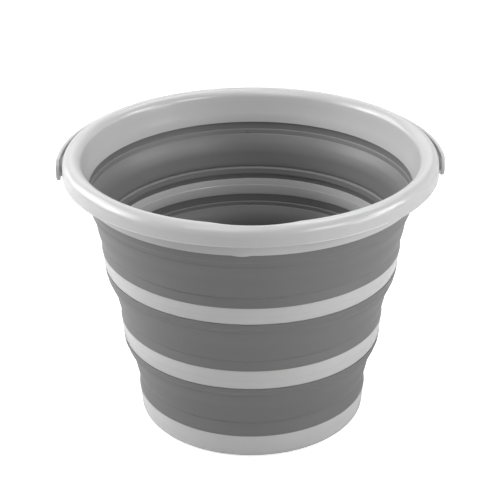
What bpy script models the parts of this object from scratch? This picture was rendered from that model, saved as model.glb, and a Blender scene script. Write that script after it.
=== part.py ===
"""Collapsible camp bucket: rigid rim, two rigid bands and a rigid base, joined
by three soft walls that fold inside one another, with a swinging bail handle.

Metres, +Z up. The origin is on the bucket's axis at the floor, the handle's
pivots lie along X, and the handle rests level round the back (+Y).
Blender 4.5: blender --background --python part.py
"""
import math

import bmesh
import bpy

# Heights of the stack from the floor to the top of the rim
BASE_HEIGHT = 0.0221
LOWER_WALL_RISE = 0.0552
LOWER_BAND_HEIGHT = 0.0174
MIDDLE_WALL_RISE = 0.0512
UPPER_BAND_HEIGHT = 0.0153
UPPER_WALL_RISE = 0.0542
RIM_HEIGHT = 0.0299

# Outer radius of the base, the flare of each ring and the step out to the next one
BASE_RADIUS = 0.1001
BASE_FLARE = 0.0019
LOWER_STEP = 0.0123
LOWER_BAND_FLARE = 0.0015
MIDDLE_STEP = 0.0121
UPPER_BAND_FLARE = 0.0018
UPPER_STEP = 0.0150

# Joint between a rigid ring and a soft wall: a thin tongue in a forked neck
GAP = 0.0003
RING_WALL = 0.0030
RING_STAGGER = 0.0020
TONGUE_THICKNESS = 0.0008
TONGUE_LENGTH = 0.0045
FORK_LIP = 0.0005
BAND_LINE_STEP = 0.00035
BAND_LINE_HEIGHT = 0.0006
BAND_OUTER_LINE_SHARE = 0.40
BAND_INNER_LINE_SHARE = 0.58

# Base cup
BASE_FILLET = 0.0043
FOOT_WIDTH = 0.0055
FOOT_RECESS = 0.0025
FLOOR_THICKNESS = 0.0025
BASE_INNER_FILLET = 0.0050
FLOOR_RING_RADIUS = 0.0600
FLOOR_RING_WIDTH = 0.0040
FLOOR_RING_HEIGHT = 0.0008

# Soft walls: a thin neck, a shoulder, a fold line, a knee, a belly and a crease
WALL_THICKNESS = 0.0026
BODY_THICKNESS = 0.0030
NECK_TAPER = 0.0010
LEDGE_SLOPE = 0.0006
LEDGE_HEIGHT = 0.0032
GROOVE_DEPTH = 0.0007
GROOVE_EDGE = 0.0008
CREASE_DEPTH = 0.0005
CREASE_EDGE = 0.0008
HINGE_RISE = 0.0046
HINGE_DEPTH = 0.0008
HINGE_EDGE = 0.0011
LIP_RISE = 0.0040
LIP_EDGE = 0.0006
LIP_OUT = 0.0005

UPPER_WALL = {"shoulder_drop": 0.0081, "shoulder_inset": 0.0021, "ledge_drop": 0.0067,
              "fold_drop": 0.0141, "fold_inset": 0.0040,
              "knee_rise": 0.0287, "knee_out": 0.0045,
              "belly_rise": 0.0205, "belly_out": 0.0033,
              "crease_rise": 0.0088, "crease_out": 0.0005}
MIDDLE_WALL = {"shoulder_drop": 0.0054, "shoulder_inset": 0.0004, "ledge_drop": 0.0063,
               "fold_drop": 0.0101, "fold_inset": 0.0015,
               "knee_rise": 0.0258, "knee_out": 0.0039,
               "belly_rise": 0.0178, "belly_out": 0.0023,
               "crease_rise": 0.0093, "crease_out": 0.0004}
LOWER_WALL = {"shoulder_drop": 0.0050, "shoulder_inset": 0.0006, "ledge_drop": 0.0063,
              "fold_drop": 0.0098, "fold_inset": 0.0023,
              "knee_rise": 0.0322, "knee_out": 0.0040,
              "belly_rise": 0.0234, "belly_out": 0.0024,
              "crease_rise": 0.0134, "crease_out": 0.0003}

# Rim
ROLL_WIDTH = 0.0160
ROLL_OUTER_FILLET = 0.0080
ROLL_INNER_FILLET = 0.0075
RIM_WALL = 0.0020
LIP_HEIGHT = 0.0160
LIP_FLARE = 0.0006
SKIRT_THICKNESS = 0.0020
COLLAR_LIP = 0.0018
COLLAR_DRAFT = 0.0007
SLOT_DEPTH = 0.0066
UPPER_EDGE_THICKNESS = 0.0017

# Pouring lip: the roll's inner edge bows out at the front, between the pivots
POUR_LIP_BOW = 0.0052
POUR_LIP_WIDTH = 0.0690
POUR_LIP_HEIGHT = 0.0120

# Handle and its pivots
PIVOT_DROP = 0.0161
BOSS_RADIUS = 0.0070
BOSS_STANDOFF = 0.0009
BOSS_ROOT = 0.0020
TAB_RADIUS = 0.00975
TAB_THICKNESS = 0.0038
TAB_PAD_RADIUS = 0.0060
TAB_PAD_HEIGHT = 0.0003
TAB_EDGE = 0.0009
STRIP_STANDOFF = 0.0003
STRIP_THICKNESS = 0.0032
STRIP_HEIGHT = 0.0110
STRIP_EDGE = 0.0009
PEG_RADIUS = 0.0040
PEG_LENGTH = 0.0092
PEG_CLEARANCE = 0.0004
PEG_BEAD_HEIGHT = 0.0005
PEG_BEAD_LENGTH = 0.0024
PEG_TIP = 0.0008

# Smoothness and tolerances of the mesh
RING_SEGMENTS = 36
HANDLE_STEPS = 36
ROUND_SEGMENTS = 20
FILLET_STEPS = 4
ROLL_STEPS = 3
MERGE = 0.000001
SMOOTH_ANGLE = math.radians(32)

# Places that follow from the sizes
BASE_TOP_RADIUS = BASE_RADIUS + BASE_FLARE
LOWER_BAND_RADIUS = BASE_TOP_RADIUS + LOWER_STEP
LOWER_BAND_TOP_RADIUS = LOWER_BAND_RADIUS + LOWER_BAND_FLARE
UPPER_BAND_RADIUS = LOWER_BAND_TOP_RADIUS + MIDDLE_STEP
UPPER_BAND_TOP_RADIUS = UPPER_BAND_RADIUS + UPPER_BAND_FLARE
COLLAR_RADIUS = UPPER_BAND_TOP_RADIUS + UPPER_STEP
ROLL_INNER_RADIUS = COLLAR_RADIUS + COLLAR_DRAFT - RIM_WALL
ROLL_OUTER_RADIUS = ROLL_INNER_RADIUS + ROLL_WIDTH
LIP_RADIUS = ROLL_OUTER_RADIUS + LIP_FLARE
SLOT_OUTER_RADIUS = COLLAR_RADIUS - COLLAR_LIP
SLOT_INNER_RADIUS = SLOT_OUTER_RADIUS - UPPER_EDGE_THICKNESS - 2 * GAP
SKIRT_RADIUS = SLOT_INNER_RADIUS - SKIRT_THICKNESS
LOWER_BAND_Z = BASE_HEIGHT + LOWER_WALL_RISE
LOWER_BAND_TOP_Z = LOWER_BAND_Z + LOWER_BAND_HEIGHT
UPPER_BAND_Z = LOWER_BAND_TOP_Z + MIDDLE_WALL_RISE
UPPER_BAND_TOP_Z = UPPER_BAND_Z + UPPER_BAND_HEIGHT
COLLAR_Z = UPPER_BAND_TOP_Z + UPPER_WALL_RISE
RIM_TOP_Z = COLLAR_Z + RIM_HEIGHT
PIVOT_Z = RIM_TOP_Z - PIVOT_DROP
NECK_WALL = 2 * FORK_LIP + 2 * GAP + TONGUE_THICKNESS
BOSS_FACE = LIP_RADIUS + BOSS_STANDOFF
TAB_FACE = BOSS_FACE + GAP + TAB_PAD_HEIGHT
STRIP_RADIUS = TAB_FACE + STRIP_STANDOFF


def clear_scene():
    for old in list(bpy.data.objects):
        bpy.data.objects.remove(old, do_unlink=True)


def plastic(name, color, roughness):
    material = bpy.data.materials.new(name)
    material.use_nodes = True
    shader = material.node_tree.nodes["Principled BSDF"]
    shader.inputs["Base Color"].default_value = (*color, 1)
    shader.inputs["Roughness"].default_value = roughness
    shader.inputs["Metallic"].default_value = 0
    return material


def finish(bm, name, material, height=0.0):
    """Turn a bmesh into a named object whose origin is on the axis at height."""
    bmesh.ops.remove_doubles(bm, verts=bm.verts, dist=MERGE)
    bmesh.ops.recalc_face_normals(bm, faces=bm.faces)
    mesh = bpy.data.meshes.new(name)
    bm.to_mesh(mesh)
    bm.free()
    mesh.shade_smooth()
    mesh.set_sharp_from_angle(angle=SMOOTH_ANGLE)
    mesh.materials.append(material)
    item = bpy.data.objects.new(name, mesh)
    item.location.z = height
    bpy.context.collection.objects.link(item)
    return item


def arc(center, radius, start, end, steps):
    """Points of an arc in the (radius, height) plane, angles in degrees."""
    points = []
    for i in range(steps + 1):
        angle = math.radians(start + (end - start) * i / steps)
        points.append((center[0] + radius * math.cos(angle),
                       center[1] + radius * math.sin(angle)))
    return points


def mix(a, b, share):
    return a + (b - a) * share


def turned(name, outline, height, material, closed=True):
    """Spin an outline of (radius, height) points round the bucket's axis."""
    bm = bmesh.new()
    verts = [bm.verts.new((r, 0, z - height)) for r, z in outline]
    pairs = list(zip(verts, verts[1:]))
    if closed:
        pairs.append((verts[-1], verts[0]))
    edges = [bm.edges.new(pair) for pair in pairs]
    bmesh.ops.spin(bm, geom=verts + edges, cent=(0, 0, 0), axis=(0, 0, 1),
                   angle=2 * math.pi, steps=RING_SEGMENTS, use_merge=True)
    return finish(bm, name, material, height)


# Rigid rings

def tongue(radius, height, direction):
    """The tongue on a ring's edge; its inner root is higher, as the inner face is."""
    outer = radius - FORK_LIP - GAP
    inner = outer - TONGUE_THICKNESS
    tip = height + direction * TONGUE_LENGTH
    return [(outer, height), (outer, tip), (inner, tip), (inner, height + RING_STAGGER)]


def band_face(bottom, top, line_share, step):
    """A band's face, bottom to top, with its fine moulded line."""
    line_z = mix(bottom[1], top[1], line_share)
    line_r = mix(bottom[0], top[0], line_share)
    return [(bottom[0] - step, bottom[1]), (line_r - step, line_z),
            (line_r, line_z + BAND_LINE_HEIGHT), top]


def band(name, bottom_radius, top_radius, bottom_z, top_z, material):
    inner_bottom = (bottom_radius - RING_WALL, bottom_z + RING_STAGGER)
    inner_top = (top_radius - RING_WALL, top_z + RING_STAGGER)
    outer = band_face((bottom_radius, bottom_z), (top_radius, top_z),
                      BAND_OUTER_LINE_SHARE, BAND_LINE_STEP)
    inner = band_face(inner_bottom, inner_top, BAND_INNER_LINE_SHARE, BAND_LINE_STEP)
    outline = (outer + tongue(top_radius, top_z, 1) + inner[::-1]
               + tongue(bottom_radius, bottom_z, -1)[::-1])
    return turned(name, outline, bottom_z, material)


def base(material):
    """A cup with a foot ring, an inner floor and a tongue for the lowest wall."""
    fillet_center = (BASE_RADIUS - BASE_FILLET, BASE_FILLET)
    foot_inner = fillet_center[0] - FOOT_WIDTH
    floor_z = FOOT_RECESS + FLOOR_THICKNESS
    corner_r = BASE_RADIUS + BASE_FLARE * floor_z / BASE_HEIGHT - RING_WALL
    corner = (corner_r - BASE_INNER_FILLET, floor_z + BASE_INNER_FILLET)
    outline = [(0, FOOT_RECESS), (foot_inner - FOOT_RECESS, FOOT_RECESS), (foot_inner, 0)]
    outline += arc(fillet_center, BASE_FILLET, -90, 0, FILLET_STEPS)
    outline += [(BASE_TOP_RADIUS, BASE_HEIGHT)]
    outline += tongue(BASE_TOP_RADIUS, BASE_HEIGHT, 1)
    outline += [(BASE_TOP_RADIUS - RING_WALL, BASE_HEIGHT + RING_STAGGER)]
    outline += arc(corner, BASE_INNER_FILLET, 0, -90, FILLET_STEPS)
    outline += [(FLOOR_RING_RADIUS + FLOOR_RING_WIDTH, floor_z),
                (FLOOR_RING_RADIUS, floor_z + FLOOR_RING_HEIGHT),
                (FLOOR_RING_RADIUS - FLOOR_RING_WIDTH, floor_z), (0, floor_z)]
    return turned("base", outline, 0, material, closed=False)


# Soft walls

def fork(radius, height, direction):
    """The groove in a neck's end that takes a tongue, from outer to inner lip."""
    end = height - direction * GAP
    inner_end = end + RING_STAGGER
    floor = height - direction * (TONGUE_LENGTH + GAP)
    outer = radius - FORK_LIP
    inner = outer - TONGUE_THICKNESS - 2 * GAP
    return [(radius, end), (outer, end), (outer, floor), (inner, floor),
            (inner, inner_end), (radius - NECK_WALL, inner_end)]


def wall_faces(top, neck_r, bottom, wall):
    """Outer and inner faces of a soft wall between its two necks, top to bottom."""
    shoulder = (top[0] - wall["shoulder_inset"], top[1] - wall["shoulder_drop"])
    fold = (top[0] - wall["fold_inset"], top[1] - wall["fold_drop"])
    knee = (bottom[0] + wall["knee_out"], bottom[1] + wall["knee_rise"])
    belly = (bottom[0] + wall["belly_out"], bottom[1] + wall["belly_rise"])
    crease = (bottom[0] + wall["crease_out"], bottom[1] + wall["crease_rise"])
    outer = [shoulder,
             (shoulder[0] - GROOVE_DEPTH, shoulder[1] - GROOVE_EDGE),
             (fold[0] - GROOVE_DEPTH / 2, fold[1] + GROOVE_EDGE),
             fold, knee, belly,
             (crease[0], crease[1] + CREASE_EDGE),
             (bottom[0] - CREASE_DEPTH, crease[1]),
             (bottom[0], crease[1] - CREASE_EDGE)]
    ledge = (shoulder[0] - BODY_THICKNESS, top[1] - wall["ledge_drop"])
    inner = [(neck_r, ledge[1] + LEDGE_SLOPE), ledge, (ledge[0], ledge[1] - LEDGE_HEIGHT)]
    return outer, inner + lower_inner_face(bottom, knee, belly, crease)


def lower_inner_face(bottom, knee, belly, crease):
    """Knee and belly, the groove of the lower hinge and the lip above the ring."""
    hinge_z = crease[1] + HINGE_RISE
    hinge_r = mix(crease[0], belly[0], (hinge_z - crease[1]) / (belly[1] - crease[1]))
    hinge_r -= WALL_THICKNESS
    neck_r = bottom[0] - NECK_WALL
    lip_z = bottom[1] + RING_STAGGER + LIP_RISE
    return [(knee[0] - WALL_THICKNESS, knee[1]),
            (belly[0] - WALL_THICKNESS, belly[1]),
            (hinge_r, hinge_z + HINGE_EDGE),
            (hinge_r + HINGE_DEPTH, hinge_z),
            (neck_r - LIP_OUT, hinge_z - HINGE_EDGE),
            (neck_r - LIP_OUT, lip_z + LIP_EDGE),
            (neck_r, lip_z)]


def forked_wall(name, top, bottom, wall, material):
    outer, inner = wall_faces(top, top[0] - NECK_WALL, bottom, wall)
    outline = fork(*top, 1)[::-1] + outer + fork(*bottom, -1) + inner[::-1]
    return turned(name, outline, bottom[1], material)


def slotted_wall(name, bottom, wall, material):
    """The highest wall, whose plain upper edge stands in the rim's slot."""
    outer_r = SLOT_OUTER_RADIUS - GAP
    inner_r = SLOT_INNER_RADIUS + GAP
    edge_z = COLLAR_Z + SLOT_DEPTH - GAP
    outer, inner = wall_faces((outer_r, COLLAR_Z), inner_r - NECK_TAPER, bottom, wall)
    top = [(inner_r, COLLAR_Z), (inner_r, edge_z), (outer_r, edge_z), (outer_r, COLLAR_Z)]
    return turned(name, top + outer + fork(*bottom, -1) + inner[::-1], bottom[1], material)


# Rim

def roll_arch(wall):
    """The roll's arch from inside to outside, a wall thickness in from its surface."""
    inner = (ROLL_INNER_RADIUS + ROLL_INNER_FILLET, RIM_TOP_Z - ROLL_INNER_FILLET)
    outer = (ROLL_OUTER_RADIUS - ROLL_OUTER_FILLET, RIM_TOP_Z - ROLL_OUTER_FILLET)
    return (arc(inner, ROLL_INNER_FILLET - wall, 180, 90, ROLL_STEPS)
            + arc(outer, ROLL_OUTER_FILLET - wall, 90, 0, ROLL_STEPS))


def rim_outline():
    lip_z = RIM_TOP_Z - LIP_HEIGHT
    slot_z = COLLAR_Z + SLOT_DEPTH
    outline = [(COLLAR_RADIUS, COLLAR_Z), (COLLAR_RADIUS + COLLAR_DRAFT, lip_z)]
    outline += roll_arch(RIM_WALL)
    outline += [(LIP_RADIUS - RIM_WALL, lip_z), (LIP_RADIUS, lip_z),
                (LIP_RADIUS, lip_z + RIM_WALL)]
    outline += roll_arch(0)[::-1]
    bow_share = (RIM_HEIGHT - POUR_LIP_HEIGHT) / (RIM_HEIGHT - ROLL_INNER_FILLET)
    outline += [(mix(SKIRT_RADIUS, ROLL_INNER_RADIUS, bow_share), RIM_TOP_Z - POUR_LIP_HEIGHT),
                (SKIRT_RADIUS, COLLAR_Z), (SLOT_INNER_RADIUS, COLLAR_Z),
                (SLOT_INNER_RADIUS, slot_z), (SLOT_OUTER_RADIUS, slot_z),
                (SLOT_OUTER_RADIUS, COLLAR_Z)]
    return outline


def bow_pouring_lip(item):
    """Bow the arch's inner edge outward at the front, while its outer edge stays round."""
    wall_end = ROLL_INNER_RADIUS + RIM_WALL
    bow_end = ROLL_OUTER_RADIUS - ROLL_OUTER_FILLET / 2
    for vertex in item.data.vertices:
        if vertex.co.z < RIM_HEIGHT - ROLL_INNER_FILLET - MERGE:
            continue
        radius = math.hypot(vertex.co.x, vertex.co.y)
        along = radius * math.atan2(vertex.co.x, -vertex.co.y)
        across = max(0, 1 - (2 * along / POUR_LIP_WIDTH) ** 2)
        inward = min(1, max(0, (bow_end - radius) / (bow_end - wall_end)))
        grow = 1 + POUR_LIP_BOW * across * inward / radius
        vertex.co.x *= grow
        vertex.co.y *= grow


def round_bar(name, outline, side, material):
    """Spin (distance, radius) points round the pivot axis on one side."""
    bm = bmesh.new()
    verts = [bm.verts.new((side * x, r, 0)) for x, r in outline]
    edges = [bm.edges.new(pair) for pair in zip(verts, verts[1:])]
    bmesh.ops.spin(bm, geom=verts + edges, cent=(0, 0, 0), axis=(1, 0, 0),
                   angle=2 * math.pi, steps=ROUND_SEGMENTS, use_merge=True)
    return finish(bm, name, material, PIVOT_Z)


def tool(item, target, operation):
    """Join a helper shape to a target, or cut it out, and leave it as a guide."""
    item.hide_render = True
    item.display_type = "WIRE"
    item.parent = target
    item.matrix_parent_inverse = target.matrix_world.inverted()
    boolean = target.modifiers.new(item.name, "BOOLEAN")
    boolean.object = item
    boolean.operation = operation
    boolean.solver = "EXACT"


def peg_profile(face, clearance):
    """A peg with its snap bead, as (distance, radius), or the bore that takes it."""
    tip = face - PEG_LENGTH - clearance
    bead_end = face - PEG_LENGTH + 2 * PEG_TIP - clearance
    bead_start = face - PEG_LENGTH + 2 * PEG_TIP + PEG_BEAD_LENGTH + clearance
    shaft = PEG_RADIUS + clearance
    bead = shaft + PEG_BEAD_HEIGHT
    return [(tip, 0), (tip, shaft - PEG_TIP), (tip + PEG_TIP, shaft), (bead_end, shaft),
            (bead_end + PEG_BEAD_HEIGHT, bead), (bead_start - PEG_BEAD_HEIGHT, bead),
            (bead_start, shaft), (face, shaft), (face, 0)]


def rim(material):
    item = turned("rim", rim_outline(), COLLAR_Z, material)
    bow_pouring_lip(item)
    bpy.context.view_layer.update()
    for side in (-1, 1):
        root = COLLAR_RADIUS - BOSS_ROOT
        boss = [(root, 0), (root, BOSS_RADIUS), (BOSS_FACE - PEG_TIP, BOSS_RADIUS),
                (BOSS_FACE, BOSS_RADIUS - PEG_TIP), (BOSS_FACE, 0)]
        tool(round_bar("boss_shape", boss, side, material), item, "UNION")
    for side in (-1, 1):
        bore = peg_profile(TAB_FACE, PEG_CLEARANCE)
        tool(round_bar("bore_shape", bore, side, material), item, "DIFFERENCE")
    return item


# Handle

def strip_outline():
    """The bail's flat section: outer edge on top, level with the tabs' tops."""
    inner, outer = STRIP_RADIUS, STRIP_RADIUS + STRIP_THICKNESS
    top, bottom = TAB_RADIUS, TAB_RADIUS - STRIP_HEIGHT
    return [(inner + STRIP_EDGE, bottom), (outer - STRIP_EDGE, bottom),
            (outer, bottom + STRIP_EDGE), (outer, top - STRIP_EDGE),
            (outer - STRIP_EDGE, top), (inner + STRIP_EDGE, top),
            (inner, top - STRIP_EDGE), (inner, bottom + STRIP_EDGE)]


def handle(material):
    """A half-round bail round the back, with an end tab and a peg at each pivot."""
    bm = bmesh.new()
    verts = [bm.verts.new((r, 0, z)) for r, z in strip_outline()]
    section = bm.faces.new(verts)
    swept = bmesh.ops.spin(bm, geom=[section], cent=(0, 0, 0), axis=(0, 0, 1),
                           angle=math.pi, steps=HANDLE_STEPS)
    assert swept["geom_last"]
    item = finish(bm, "handle", material, PIVOT_Z)
    bpy.context.view_layer.update()
    outer = TAB_FACE + TAB_THICKNESS
    for side in (-1, 1):
        tab = [(TAB_FACE - TAB_PAD_HEIGHT, 0), (TAB_FACE - TAB_PAD_HEIGHT, TAB_PAD_RADIUS),
               (TAB_FACE, TAB_PAD_RADIUS), (TAB_FACE, TAB_RADIUS),
               (outer - TAB_EDGE, TAB_RADIUS), (outer, TAB_RADIUS - TAB_EDGE), (outer, 0)]
        tool(round_bar("tab_shape", tab, side, material), item, "UNION")
        tool(round_bar("peg_shape", peg_profile(TAB_FACE, 0), side, material), item, "UNION")
    return item


def build():
    clear_scene()
    rigid = {name: plastic(name + "_plastic", (0.52, 0.53, 0.55), 0.34)
             for name in ("rim", "upper_band", "lower_band", "base", "handle")}
    soft = {name: plastic(name + "_rubber", (0.13, 0.13, 0.135), 0.52)
            for name in ("upper_wall", "middle_wall", "lower_wall")}
    base(rigid["base"])
    band("lower_band", LOWER_BAND_RADIUS, LOWER_BAND_TOP_RADIUS,
         LOWER_BAND_Z, LOWER_BAND_TOP_Z, rigid["lower_band"])
    band("upper_band", UPPER_BAND_RADIUS, UPPER_BAND_TOP_RADIUS,
         UPPER_BAND_Z, UPPER_BAND_TOP_Z, rigid["upper_band"])
    forked_wall("lower_wall", (LOWER_BAND_RADIUS, LOWER_BAND_Z),
                (BASE_TOP_RADIUS, BASE_HEIGHT), LOWER_WALL, soft["lower_wall"])
    forked_wall("middle_wall", (UPPER_BAND_RADIUS, UPPER_BAND_Z),
                (LOWER_BAND_TOP_RADIUS, LOWER_BAND_TOP_Z), MIDDLE_WALL, soft["middle_wall"])
    slotted_wall("upper_wall", (UPPER_BAND_TOP_RADIUS, UPPER_BAND_TOP_Z),
                 UPPER_WALL, soft["upper_wall"])
    rim(rigid["rim"])
    handle(rigid["handle"])


build()
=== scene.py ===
import math

import bmesh
import bpy
from mathutils import Matrix, Vector


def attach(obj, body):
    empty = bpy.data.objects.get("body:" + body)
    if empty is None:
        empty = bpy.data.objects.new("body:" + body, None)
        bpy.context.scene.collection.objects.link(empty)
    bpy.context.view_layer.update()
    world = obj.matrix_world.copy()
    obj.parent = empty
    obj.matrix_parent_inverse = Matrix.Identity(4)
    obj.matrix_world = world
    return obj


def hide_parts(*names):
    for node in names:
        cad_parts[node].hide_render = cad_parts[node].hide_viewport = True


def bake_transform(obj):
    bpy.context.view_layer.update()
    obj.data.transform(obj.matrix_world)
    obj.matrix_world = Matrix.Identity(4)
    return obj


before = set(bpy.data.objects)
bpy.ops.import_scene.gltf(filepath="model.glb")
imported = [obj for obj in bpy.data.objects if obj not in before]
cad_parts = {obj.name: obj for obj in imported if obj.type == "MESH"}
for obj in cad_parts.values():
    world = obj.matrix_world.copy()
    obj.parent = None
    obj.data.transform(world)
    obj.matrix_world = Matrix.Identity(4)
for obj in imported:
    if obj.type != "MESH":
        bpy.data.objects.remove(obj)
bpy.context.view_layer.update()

mm = 0.001
print("frame loaded:", len(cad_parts), "nodes")


# turned pieces: an outline of (radius, height, corner softness) in millimetres, spun round Z

# the first three are distances in millimetres; sharpAngle is in degrees, cornerAngle in radians;
# corners up to smallCorner get a share of the steps that the large ones get
meshing = {"mergeWithin": 0.005, "axisWithin": 0.01, "cornerWithin": 0.05,
           "sharpAngle": 40, "cornerAngle": 0.35,
           "smallCorner": 2, "smallCornerShare": 3, "fewestSteps": 2}


def addObject(name, data):
    thing = bpy.data.objects.new(name, data)
    bpy.context.collection.objects.link(thing)
    return thing


def softOutline(outline, steps):
    bm = bmesh.new()
    corners = [bm.verts.new((radius * mm, 0, height * mm)) for radius, height, _ in outline]
    bm.faces.new(corners)
    bySoftness = {}
    for corner, (_, _, soft) in zip(corners, outline):
        if soft > 0:
            bySoftness.setdefault(soft, []).append(corner)
    fewSteps = max(meshing["fewestSteps"], steps // meshing["smallCornerShare"])
    for soft, group in bySoftness.items():
        bmesh.ops.bevel(bm, geom=group, offset=soft * mm, offset_type="OFFSET", affect="VERTICES",
                        segments=steps if soft > meshing["smallCorner"] else fewSteps,
                        profile=0.5, material=-1, clamp_overlap=True)
    bmesh.ops.delete(bm, geom=bm.faces[:], context="FACES_ONLY")
    return bm


def spinRound(bm, axis, steps):
    bmesh.ops.spin(bm, geom=bm.verts[:] + bm.edges[:], cent=(0, 0, 0), axis=axis,
                   angle=2 * math.pi, steps=steps, use_merge=True)


def cleanMesh(bm):
    bmesh.ops.remove_doubles(bm, verts=bm.verts, dist=meshing["mergeWithin"] * mm)
    bmesh.ops.recalc_face_normals(bm, faces=bm.faces)


def finishMesh(bm, name, material):
    cleanMesh(bm)
    mesh = bpy.data.meshes.new(name)
    bm.to_mesh(mesh)
    bm.free()
    mesh.shade_smooth()
    mesh.set_sharp_from_angle(angle=math.radians(meshing["sharpAngle"]))
    mesh.materials.append(material)
    return addObject(name, mesh)


def turnPiece(name, shape, material):
    bm = softOutline(shape["outline"], shape["roundSteps"])
    # where an outline starts and ends on the axis, the edge that closes it there is left out
    for edge in list(bm.edges):
        if all(abs(vert.co.x) < meshing["axisWithin"] * mm for vert in edge.verts):
            bm.edges.remove(edge)
    spinRound(bm, (0, 0, 1), shape["around"])
    return finishMesh(bm, name, material)


# materials

skinTexture = {"upStretch": 2.5, "flowDetail": 3, "flowRoughness": 0.55, "grainDetail": 2}


def groupSockets(group, inputs, outputs):
    for name, value in inputs:
        socket = group.interface.new_socket(name=name, in_out="INPUT",
                                            socket_type="NodeSocketFloat")
        socket.default_value = value
    for name, kind in outputs:
        group.interface.new_socket(name=name, in_out="OUTPUT", socket_type=kind)


def mouldedSkinGroup():
    # slow flow marks and fine grain of a moulded surface
    group = bpy.data.node_groups.new("mouldedSkin", "ShaderNodeTree")
    groupSockets(group, [("Flow Scale", 14.0), ("Grain Scale", 900.0), ("Grain Amount", 0.5)],
                 [("Tone", "NodeSocketFloat"), ("Height", "NodeSocketFloat")])
    nodes, links = group.nodes, group.links
    start = nodes.new("NodeGroupInput")
    end = nodes.new("NodeGroupOutput")
    place = nodes.new("ShaderNodeTexCoord")
    stretch = nodes.new("ShaderNodeMapping")
    stretch.inputs["Scale"].default_value = (1, 1, skinTexture["upStretch"])
    links.new(place.outputs["Object"], stretch.inputs["Vector"])
    flow = nodes.new("ShaderNodeTexNoise")
    flow.inputs["Detail"].default_value = skinTexture["flowDetail"]
    flow.inputs["Roughness"].default_value = skinTexture["flowRoughness"]
    links.new(stretch.outputs["Vector"], flow.inputs["Vector"])
    links.new(start.outputs["Flow Scale"], flow.inputs["Scale"])
    grain = nodes.new("ShaderNodeTexNoise")
    grain.inputs["Detail"].default_value = skinTexture["grainDetail"]
    links.new(place.outputs["Object"], grain.inputs["Vector"])
    links.new(start.outputs["Grain Scale"], grain.inputs["Scale"])
    links.new(flow.outputs["Fac"], end.inputs["Tone"])
    level = nodes.new("ShaderNodeMath")
    level.operation = "MULTIPLY"
    links.new(grain.outputs["Fac"], level.inputs[0])
    links.new(start.outputs["Grain Amount"], level.inputs[1])
    total = nodes.new("ShaderNodeMath")
    total.operation = "ADD"
    links.new(flow.outputs["Fac"], total.inputs[0])
    links.new(level.outputs["Value"], total.inputs[1])
    links.new(total.outputs["Value"], end.inputs["Height"])
    return group


skinGroup = mouldedSkinGroup()


def mouldedMaterial(name, finish):
    material = bpy.data.materials.new(name)
    material.use_nodes = True
    nodes, links = material.node_tree.nodes, material.node_tree.links
    shader = nodes["Principled BSDF"]
    skin = nodes.new("ShaderNodeGroup")
    skin.node_tree = skinGroup
    skin.inputs["Flow Scale"].default_value = finish["flowScale"]
    skin.inputs["Grain Scale"].default_value = finish["grainScale"]
    skin.inputs["Grain Amount"].default_value = finish["grainAmount"]
    tint = nodes.new("ShaderNodeMix")
    tint.data_type = "RGBA"
    tint.inputs["A"].default_value = (*finish["darkColor"], 1)
    tint.inputs["B"].default_value = (*finish["lightColor"], 1)
    links.new(skin.outputs["Tone"], tint.inputs["Factor"])
    links.new(tint.outputs["Result"], shader.inputs["Base Color"])
    gloss = nodes.new("ShaderNodeMapRange")
    gloss.inputs["To Min"].default_value = finish["roughness"][0]
    gloss.inputs["To Max"].default_value = finish["roughness"][1]
    links.new(skin.outputs["Tone"], gloss.inputs["Value"])
    links.new(gloss.outputs["Result"], shader.inputs["Roughness"])
    bump = nodes.new("ShaderNodeBump")
    bump.inputs["Strength"].default_value = finish["bumpStrength"]
    bump.inputs["Distance"].default_value = finish["bumpDepth"] * mm
    links.new(skin.outputs["Height"], bump.inputs["Height"])
    links.new(bump.outputs["Normal"], shader.inputs["Normal"])
    shader.inputs["IOR"].default_value = finish["ior"]
    return material


rigidFinish = {"lightColor": (0.50, 0.50, 0.50), "darkColor": (0.48, 0.48, 0.48),
               "roughness": (0.17, 0.23), "flowScale": 11, "grainScale": 1400,
               "grainAmount": 0.12, "bumpStrength": 0.25, "bumpDepth": 0.12, "ior": 1.49}
softFinish = {"lightColor": (0.150, 0.150, 0.150), "darkColor": (0.137, 0.137, 0.137),
              "roughness": (0.42, 0.50), "flowScale": 16, "grainScale": 1900,
              "grainAmount": 0.45, "bumpStrength": 0.3, "bumpDepth": 0.10, "ior": 1.50}

rigidPlastic = mouldedMaterial("rigidGreyPlastic", rigidFinish)
softRubber = mouldedMaterial("softGreyRubber", softFinish)
print("materials made")


# rim: rolled top edge with an overhanging lip, the collar, the slot and the inner skirt

rimShape = {"around": 288, "roundSteps": 12, "outline": [
    (144.7, 215.4, 0.3), (145.4, 243.3, 5.5), (157.4, 243.3, 6.0), (157.8, 229.3, 0.4),
    (160.0, 229.3, 0.5), (160.0, 230.3, 0.3), (159.75, 230.7, 0.3), (159.4, 245.3, 8.0),
    (145.0, 245.3, 6.8), (142.0, 229.0, 4.5), (138.6, 215.6, 0.5), (140.6, 215.6, 0.2),
    (140.6, 222.0, 0), (142.9, 222.0, 0), (142.9, 215.4, 0.3)],
    "pourLip": {"bow": 5.2, "width": 69.0, "start": 233.3, "full": 237.8,
                "innerEnd": 145.4, "outerEnd": 155.4},
    "gateMark": {"around": -4.3, "width": 15.0, "depth": 0.9, "below": 216.2, "outside": 142.0}}


def roundPlace(vert, around=0):
    # distance from the axis, and along its circle from a point that many degrees off the front
    radius = math.hypot(vert.co.x, vert.co.y)
    return radius, radius * (math.atan2(vert.co.x, -vert.co.y) - math.radians(around))


def humpShare(along, width):
    # 1 in the middle of the width, falling to 0 at its two ends
    return max(0, 1 - (2 * along / (width * mm)) ** 2)


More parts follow.
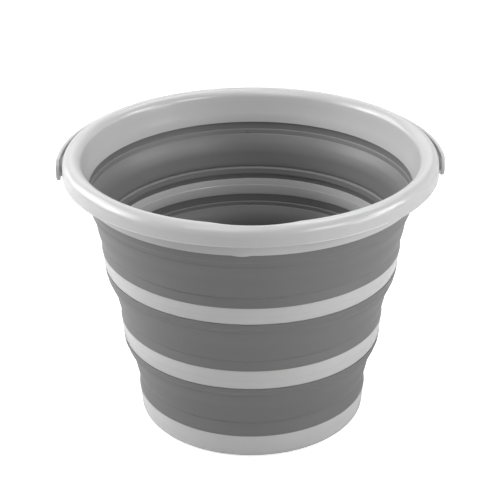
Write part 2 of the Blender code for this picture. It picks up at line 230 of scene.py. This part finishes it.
def bowPouringLip(mesh, lip):
    # the roll's inner edge bows outward at the front, and its outer edge stays round
    for vert in mesh.vertices:
        radius, along = roundPlace(vert)
        inward = (lip["outerEnd"] - radius / mm) / (lip["outerEnd"] - lip["innerEnd"])
        upward = (vert.co.z / mm - lip["start"]) / (lip["full"] - lip["start"])
        share = humpShare(along, lip["width"]) * min(1, max(0, inward)) * min(1, max(0, upward))
        vert.co.xy *= 1 + lip["bow"] * mm * share / radius


def lowerGateMark(mesh, mark):
    # the collar's lower edge hangs a little lower where the mould was filled
    for vert in mesh.vertices:
        radius, along = roundPlace(vert, mark["around"])
        if radius > mark["outside"] * mm and vert.co.z < mark["below"] * mm:
            vert.co.z -= mark["depth"] * mm * humpShare(along, mark["width"])


rim = turnPiece("rimMoulding", rimShape, rigidPlastic)
bowPouringLip(rim.data, rimShape["pourLip"])
lowerGateMark(rim.data, rimShape["gateMark"])
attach(rim, "rim_body")
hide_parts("rim")

# bosses below the rim's roll, each with the blind bore of a handle peg

# outlines turned round the pivot are (distance from the middle, radius, corner softness)
pivotHeight = 229.2
bossShape = {"around": 64, "roundSteps": 6, "outline": [
    (143.4, 0.0, 0), (143.4, 8.6, 0), (145.4, 7.0, 1.0), (160.9, 7.0, 0.8), (160.9, 4.4, 0.3),
    (156.7, 4.4, 0), (156.2, 4.9, 0), (154.0, 4.9, 0), (153.5, 4.4, 0), (151.9, 4.4, 0.6),
    (151.9, 0.0, 0)]}


def cornerSoftness(edge, outline):
    # softness of the outline's corner that the edge was turned from, or 0 if there is none
    within = meshing["cornerWithin"] * mm
    for x, radius, soft in outline:
        if all(abs(abs(vert.co.x) - x * mm) < within
               and abs(math.hypot(vert.co.y, vert.co.z) - radius * mm) < within
               for vert in edge.verts):
            return soft
    return 0


def turnAlongX(name, shape, side, material):
    bm = bmesh.new()
    points = [bm.verts.new((side * x * mm, radius * mm, 0)) for x, radius, _ in shape["outline"]]
    for start, end in zip(points, points[1:]):
        bm.edges.new((start, end))
    spinRound(bm, (1, 0, 0), shape["around"])
    cleanMesh(bm)
    rings = {}
    for edge in bm.edges:
        if edge.calc_face_angle(0) > meshing["cornerAngle"]:
            soft = cornerSoftness(edge, shape["outline"])
            if soft > 0:
                rings.setdefault(soft, []).append(edge)
    for soft, edges in rings.items():
        bmesh.ops.bevel(bm, geom=edges, offset=soft * mm, offset_type="OFFSET", affect="EDGES",
                        segments=shape["roundSteps"], profile=0.5, material=-1, clamp_overlap=True)
    bmesh.ops.translate(bm, verts=bm.verts, vec=(0, 0, pivotHeight * mm))
    return finishMesh(bm, name, material)


for sideName, side in (("Left", -1), ("Right", 1)):
    boss = turnAlongX("boss" + sideName, bossShape, side, rigidPlastic)
    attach(boss, "rim_body")
print("rim made")

# rigid bands, each with a fine moulded line outside and inside

upperBandShape = {"around": 256, "roundSteps": 6, "outline": [
    (129.7, 160.9, 0.25), (128.6, 152.6, 0.2), (128.3, 152.0, 0.2), (127.65, 145.4, 0.25),
    (127.1, 145.4, 0), (127.1, 141.4, 0), (126.3, 141.4, 0), (126.3, 147.9, 0),
    (125.4, 147.9, 0.25), (125.75, 156.7, 0.2), (126.1, 157.4, 0.2), (126.6, 163.2, 0.3),
    (128.1, 163.2, 0), (128.1, 165.7, 0), (128.9, 165.7, 0), (128.9, 160.9, 0)]}
lowerBandShape = {"around": 256, "roundSteps": 6, "outline": [
    (115.8, 94.7, 0.25), (114.9, 84.9, 0.2), (114.6, 84.3, 0.2), (114.0, 76.7, 0.25),
    (113.5, 76.7, 0), (113.5, 72.8, 0), (112.7, 72.8, 0), (112.7, 79.3, 0),
    (111.8, 79.3, 0.25), (112.1, 89.4, 0.2), (112.4, 90.0, 0.2), (112.8, 96.7, 0.3),
    (114.2, 96.7, 0), (114.2, 99.2, 0), (115.0, 99.2, 0), (115.0, 94.7, 0)]}
for bandName, shape, node, body in (
        ("upperBand", upperBandShape, "upper_band", "upper_band_body"),
        ("lowerBand", lowerBandShape, "lower_band", "lower_band_body")):
    band = turnPiece(bandName, shape, rigidPlastic)
    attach(band, body)
    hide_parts(node)

# base: a cup with a foot ring and a flat floor

baseShape = {"around": 256, "roundSteps": 10, "outline": [
    (0.0, 2.5, 0), (87.8, 2.5, 0.6), (90.3, 0.0, 0.6), (100.1, 0.0, 4.3), (102.0, 22.1, 0.3),
    (101.2, 22.1, 0), (101.2, 26.6, 0), (100.4, 26.6, 0), (100.4, 24.1, 0), (99.0, 24.1, 0.3),
    (97.4, 5.0, 5.0), (64.0, 5.0, 1.5), (60.0, 5.8, 1.5), (56.0, 5.0, 1.5), (0.0, 5.0, 0)]}

base = turnPiece("baseCup", baseShape, rigidPlastic)
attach(base, "base_body")
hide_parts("base")
print("bands and base made")

# soft walls: neck, shoulder, fold line, knee, belly and crease, with a forked neck below;
# the heights in hinges are those between which a wall folds

upperWallShape = {"around": 256, "roundSteps": 6, "outline": [
    (142.6, 221.7, 0), (142.6, 215.4, 0.4), (140.5, 207.3, 0.5), (139.7, 206.4, 0.5),
    (138.3, 202.1, 0.4), (138.6, 201.3, 0.5), (134.2, 189.9, 3.0), (133.0, 181.7, 3.0),
    (130.3, 170.9, 0.6), (129.0, 170.0, 0.4), (129.2, 169.0, 0.4), (129.9, 161.2, 0),
    (129.2, 161.2, 0), (129.2, 166.0, 0), (127.8, 166.0, 0), (127.8, 163.5, 0),
    (127.3, 163.5, 0), (127.6, 167.5, 0.3), (126.1, 168.2, 0.3), (127.0, 171.2, 0.8),
    (127.3, 173.4, 0.5), (129.3, 174.3, 0.5), (128.7, 176.2, 0.7), (130.2, 183.0, 2.5),
    (131.5, 190.0, 2.5), (133.9, 197.0, 2.0), (137.7, 203.8, 0.5), (138.4, 204.4, 0.3),
    (138.9, 208.4, 0.4), (139.8, 208.8, 0.3), (139.9, 215.4, 0), (140.9, 216.0, 0),
    (140.9, 221.7, 0)],
    "bodies": ("upper_band_body", "rim_body"), "hinges": (170.0, 201.3),
    "nib": {"side": 0.9, "back": 138.4, "height": 205.9}}
middleWallShape = {"around": 256, "roundSteps": 6, "outline": [
    (127.9, 145.1, 0), (127.5, 140.5, 0.5), (126.8, 139.7, 0.4), (126.0, 136.6, 0.4),
    (126.4, 135.8, 0.5), (119.7, 120.5, 3.0), (118.1, 112.5, 3.0), (116.2, 104.9, 0.6),
    (115.1, 104.0, 0.4), (115.3, 103.0, 0.4), (116.0, 95.0, 0), (115.3, 95.0, 0),
    (115.3, 99.5, 0), (113.9, 99.5, 0), (113.9, 97.0, 0), (113.4, 97.0, 0),
    (113.6, 101.0, 0.3), (112.1, 101.7, 0.3), (113.0, 105.0, 0.8), (113.3, 107.4, 0.5),
    (115.2, 108.3, 0.5), (114.8, 110.2, 0.7), (116.4, 117.0, 2.5), (117.4, 123.0, 2.5),
    (120.0, 129.5, 2.0), (124.0, 135.8, 0.5), (124.6, 136.4, 0.3), (125.0, 139.9, 0.4),
    (125.7, 140.3, 0.2), (125.5, 147.6, 0), (126.0, 147.6, 0), (126.0, 141.1, 0),
    (127.4, 141.1, 0), (127.4, 145.1, 0)],
    "bodies": ("lower_band_body", "upper_band_body"), "hinges": (104.0, 135.8),
    "nib": {"side": 1.0, "back": 124.7, "height": 138.0}}
lowerWallShape = {"around": 256, "roundSteps": 6, "outline": [
    (114.3, 76.4, 0), (113.7, 72.3, 0.5), (113.0, 71.5, 0.4), (111.7, 68.3, 0.4),
    (112.0, 67.5, 0.5), (106.0, 54.3, 3.0), (104.4, 45.5, 3.0), (102.3, 36.4, 0.6),
    (101.1, 35.5, 0.4), (101.3, 34.5, 0.4), (102.2, 22.4, 0), (101.5, 22.4, 0),
    (101.5, 26.9, 0), (100.1, 26.9, 0), (100.1, 24.4, 0), (99.6, 24.4, 0),
    (99.8, 28.4, 0.3), (98.6, 29.0, 0.3), (99.5, 38.9, 0.7), (101.3, 39.8, 0.5),
    (100.9, 41.7, 0.7), (102.6, 48.5, 2.5), (103.6, 54.5, 2.5), (106.2, 61.0, 2.0),
    (110.2, 67.3, 0.5), (110.8, 67.9, 0.3), (111.2, 71.4, 0.4), (111.7, 71.8, 0.2),
    (111.9, 79.0, 0), (112.4, 79.0, 0), (112.4, 72.5, 0), (113.8, 72.5, 0),
    (113.8, 76.4, 0)],
    "bodies": ("base_body", "lower_band_body"), "hinges": (35.5, 67.5)}
nibShape = {"radius": 1.1, "flatness": 0.6, "around": 20, "rings": 10}


def addNib(mesh, nib):
    # a small round mark of the mould at the back inside
    place = Vector((nib["side"], nib["back"], nib["height"])) * mm
    bm = bmesh.new()
    bm.from_mesh(mesh)
    bmesh.ops.create_uvsphere(bm, u_segments=nibShape["around"], v_segments=nibShape["rings"],
                              radius=nibShape["radius"] * mm,
                              matrix=Matrix.Translation(place)
                              @ Matrix.Diagonal((1, nibShape["flatness"], 1, 1)))
    for face in bm.faces:
        face.smooth = True
    bm.to_mesh(mesh)
    bm.free()


for wallName, shape, node in (("upperWall", upperWallShape, "upper_wall"),
                              ("middleWall", middleWallShape, "middle_wall"),
                              ("lowerWall", lowerWallShape, "lower_wall")):
    wall = turnPiece(wallName, shape, softRubber)
    if "nib" in shape:
        addNib(wall.data, shape["nib"])
    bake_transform(wall)
    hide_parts(node)
print("soft walls made")

# handle: a flat bail with round end tabs and a snap peg at each end

handleShape = {"insideRadius": 161.8, "outsideRadius": 165.0, "top": 239.0, "bottom": 228.0,
               "edge": 1.0, "edgeSteps": 5, "around": 120}
tabShape = {"around": 64, "roundSteps": 5, "outline": [
    (161.2, 0.0, 0), (161.2, 6.0, 0.15), (162.2, 6.0, 0), (162.2, 9.75, 0.5),
    (165.3, 9.75, 0.9), (165.3, 0.0, 0)]}
pegShape = {"around": 48, "roundSteps": 4, "outline": [
    (152.3, 0.0, 0), (152.3, 4.0, 0.8), (153.9, 4.0, 0), (154.4, 4.5, 0.2), (155.8, 4.5, 0.2),
    (156.3, 4.0, 0), (161.5, 4.0, 0), (161.5, 0.0, 0)]}


def sweepBail(name, shape, material):
    bm = bmesh.new()
    inside, outside = shape["insideRadius"] * mm, shape["outsideRadius"] * mm
    top, bottom = shape["top"] * mm, shape["bottom"] * mm
    section = [(inside, bottom), (outside, bottom), (outside, top), (inside, top)]
    face = bm.faces.new([bm.verts.new((radius, 0, height)) for radius, height in section])
    bmesh.ops.bevel(bm, geom=face.verts[:], offset=shape["edge"] * mm, offset_type="OFFSET",
                    affect="VERTICES", segments=shape["edgeSteps"], profile=0.5, material=-1,
                    clamp_overlap=True)
    bmesh.ops.spin(bm, geom=bm.faces[:], cent=(0, 0, 0), axis=(0, 0, 1), angle=math.pi,
                   steps=shape["around"])
    return finishMesh(bm, name, material)


bail = sweepBail("handleBail", handleShape, rigidPlastic)
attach(bail, "handle_body")
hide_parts("handle")
for sideName, side in (("Left", -1), ("Right", 1)):
    for partName, shape in (("handleTab", tabShape), ("handlePeg", pegShape)):
        part = turnAlongX(partName + sideName, shape, side, rigidPlastic)
        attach(part, "handle_body")
print("handle made")


# studio: pale floor, white surround and soft light

studio = {"floorSize": 3.4, "floorHeight": -0.0002, "floorColor": (0.80, 0.80, 0.80),
          "floorRoughness": 0.9, "floorGlow": 0.60, "surroundLight": 0.0, "surroundShown": 1.0}


def makeFloor():
    bm = bmesh.new()
    bmesh.ops.create_grid(bm, x_segments=1, y_segments=1, size=studio["floorSize"] / 2)
    mesh = bpy.data.meshes.new("studioFloor")
    bm.to_mesh(mesh)
    bm.free()
    floor = addObject("studioFloor", mesh)
    floor.location.z = studio["floorHeight"]
    material = bpy.data.materials.new("studioFloorPaint")
    material.use_nodes = True
    nodes, links = material.node_tree.nodes, material.node_tree.links
    shader = nodes["Principled BSDF"]
    shader.inputs["Base Color"].default_value = (*studio["floorColor"], 1)
    shader.inputs["Roughness"].default_value = studio["floorRoughness"]
    shader.inputs["Specular IOR Level"].default_value = 0
    shader.inputs["Emission Color"].default_value = (1, 1, 1, 1)
    # the floor glows for the camera only, so that it stays pale without lighting the bucket
    rays = nodes.new("ShaderNodeLightPath")
    glow = nodes.new("ShaderNodeMath")
    glow.operation = "MULTIPLY"
    glow.inputs[1].default_value = studio["floorGlow"]
    links.new(rays.outputs["Is Camera Ray"], glow.inputs[0])
    links.new(glow.outputs["Value"], shader.inputs["Emission Strength"])
    mesh.materials.append(material)


def makeSurround():
    # white to the camera and in mirror images, and no light on the bucket
    world = bpy.data.worlds.new("studioSurround")
    bpy.context.scene.world = world
    world.use_nodes = True
    nodes, links = world.node_tree.nodes, world.node_tree.links
    background = nodes["Background"]
    background.inputs["Color"].default_value = (1, 1, 1, 1)
    rays = nodes.new("ShaderNodeLightPath")
    shown = rays.outputs["Is Camera Ray"]
    for rayKind in ("Is Glossy Ray", "Is Transmission Ray"):
        either = nodes.new("ShaderNodeMath")
        either.operation = "MAXIMUM"
        links.new(shown, either.inputs[0])
        links.new(rays.outputs[rayKind], either.inputs[1])
        shown = either.outputs["Value"]
    level = nodes.new("ShaderNodeMapRange")
    level.inputs["To Min"].default_value = studio["surroundLight"]
    level.inputs["To Max"].default_value = studio["surroundShown"]
    links.new(shown, level.inputs["Value"])
    links.new(level.outputs["Result"], background.inputs["Strength"])


# each lamp looks at lampAim: around and up are degrees from the front and from level, and
# away is its distance

lamps = {
    "keyLeft": {"around": -105, "up": 30, "away": 2.0, "size": (1.7, 1.3), "power": 32.5},
    "keyStrip": {"around": -98, "up": 30, "away": 1.9, "size": (0.5, 0.25), "power": 6},
    "leftFront": {"around": -81, "up": 22, "away": 2.0, "size": (0.9, 0.7), "power": 7.5},
    "leftBackLow": {"around": -128, "up": 10, "away": 2.0, "size": (0.9, 0.6), "power": 3},
    "rightFront": {"around": 43, "up": 27, "away": 2.0, "size": (0.8, 0.6), "power": 11},
    "rightLow": {"around": 68, "up": 11, "away": 2.0, "size": (0.8, 0.6), "power": 8},
    "rightSide": {"around": 86, "up": 25, "away": 2.0, "size": (0.8, 0.7), "power": 14},
    "frontHigh": {"around": -30, "up": 60, "away": 2.0, "size": (0.9, 0.9), "power": 6.5},
    "backRightHigh": {"around": 150, "up": 60, "away": 2.0, "size": (0.9, 0.9), "power": 9.5},
    "overhead": {"around": 0, "up": 86, "away": 2.1, "size": (1.0, 1.0), "power": 6.5},
    "backLow": {"around": 180, "up": 30, "away": 2.0, "size": (2.0, 0.6), "power": 3.5}}
lampAim = Vector((0, 0, 0.15))


def makeLamps():
    for name, lamp in lamps.items():
        around, up = math.radians(lamp["around"]), math.radians(lamp["up"])
        outward = Vector((math.cos(up) * math.sin(around), -math.cos(up) * math.cos(around),
                          math.sin(up)))
        light = bpy.data.lights.new(name, "AREA")
        light.shape = "RECTANGLE"
        light.size, light.size_y = lamp["size"]
        light.energy = lamp["power"]
        holder = addObject(name, light)
        holder.location = lampAim + lamp["away"] * outward
        holder.rotation_euler = (-outward).to_track_quat("-Z", "Y").to_euler()


cameraSetup = {"distance": 1.1696, "height": 0.7242, "aimHeight": 0.149, "turned": 1.3,
               "tilt": -0.344, "sensor": 36, "lens": 106.93, "shift": (-0.00224, 0.001)}


def makeCamera():
    lens = bpy.data.cameras.new("photoCamera")
    lens.sensor_width = cameraSetup["sensor"]
    lens.lens = cameraSetup["lens"]
    lens.shift_x, lens.shift_y = cameraSetup["shift"]
    camera = addObject("photoCamera", lens)
    turn = math.radians(cameraSetup["turned"])
    place = Vector((-math.sin(turn) * cameraSetup["distance"],
                    -math.cos(turn) * cameraSetup["distance"], cameraSetup["height"]))
    aim = Vector((0, 0, cameraSetup["aimHeight"])) - place
    look = aim.to_track_quat("-Z", "Y").to_matrix().to_4x4()
    roll = Matrix.Rotation(math.radians(cameraSetup["tilt"]), 4, "Z")
    camera.matrix_world = Matrix.Translation(place) @ look @ roll
    bpy.context.scene.camera = camera


makeFloor()
makeSurround()
makeLamps()
makeCamera()
bpy.context.scene.view_settings.view_transform = "Standard"
print("studio made")
